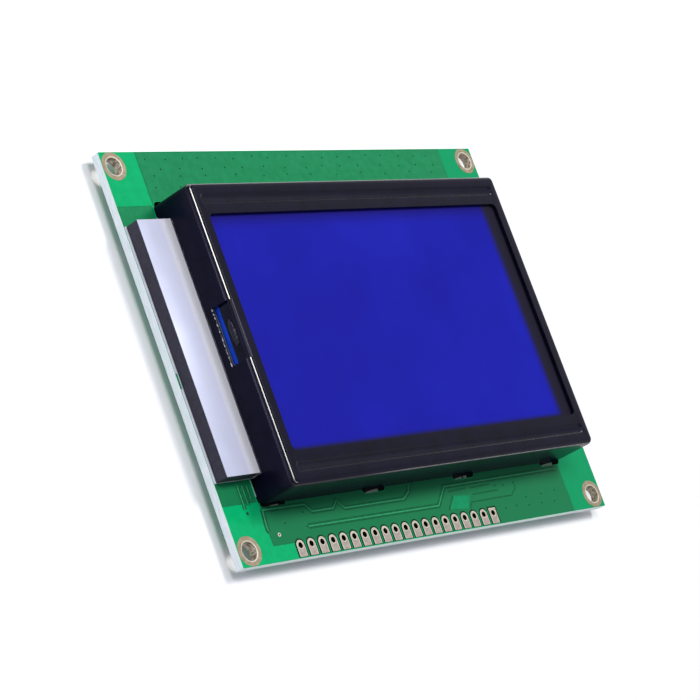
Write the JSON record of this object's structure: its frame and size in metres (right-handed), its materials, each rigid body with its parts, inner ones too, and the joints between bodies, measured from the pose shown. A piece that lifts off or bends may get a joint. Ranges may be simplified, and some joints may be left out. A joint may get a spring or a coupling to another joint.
{
  "type": "graphic lcd module",
  "caption": "Graphic LCD module: blue display cell under a folded black steel bezel on a green circuit board, with a side light bar, corner mounting holes and a row of edge pads.",
  "frame": {"origin": "centre of the four mounting holes, on the circuit board's back face", "axes": "+X along the board's length away from the light bar, +Y away from the pad row, +Z out of the display face"},
  "size_m": [0.093, 0.07, 0.0117],
  "materials": {
    "solder_mask_green": "glossy solder mask over fibre-glass laminate",
    "tinned_copper": "dull tin over copper",
    "gold_plate": "flash gold over copper",
    "black_painted_steel": "semi-matt black paint",
    "display_glass": "clear float glass over the deep blue cell",
    "blue_polariser": "matt anti-glare film, deep blue as seen through the cell",
    "clear_resin": "glossy cured resin",
    "elastomer": "silicone rubber",
    "white_film": "white reflector film",
    "clear_acrylic": "clear acrylic",
    "white_plastic": "moulded white plastic",
    "blue_diffuser": "translucent plate, blue at its edge",
    "dark_plastic": "dark grey moulded plastic",
    "silver_tape": "satin silver foil tape",
    "led_package": "white LED package with phosphor lens",
    "pin_metal": "tinned pin",
    "solder": "bright solder",
    "black_resin": "black potting resin",
    "black_mould": "black moulding compound",
    "black_ceramic": "black coated ceramic",
    "tan_ceramic": "tan ceramic"
  },
  "bodies": {
    "root": {"circuit_board": "solder_mask_green", "mounting_hole_plating": "tinned_copper", "interface_pads": "tinned_copper", "contact_fingers": "gold_plate", "bezel": "black_painted_steel", "front_glass": "display_glass", "rear_glass": "display_glass", "front_polariser": "blue_polariser", "rear_polariser": "blue_polariser", "fill_port_seal": "clear_resin", "upper_connector_strip": "elastomer", "lower_connector_strip": "elastomer", "reflector_film": "white_film", "light_guide": "clear_acrylic", "backlight_frame": "white_plastic", "diffuser_plate": "blue_diffuser", "light_bar_housing": "dark_plastic", "light_bar_tape": "silver_tape", "led_board": "solder_mask_green", "leds": "led_package", "backlight_pins": "pin_metal", "backlight_solder": "solder", "driver_chip_caps": "black_resin", "amplifier_body": "black_mould", "amplifier_leads": "tinned_copper", "resistor_bodies": "black_ceramic", "resistor_end_caps": "solder", "capacitor_bodies": "tan_ceramic", "capacitor_end_caps": "solder"}
  },
  "joints": []
}
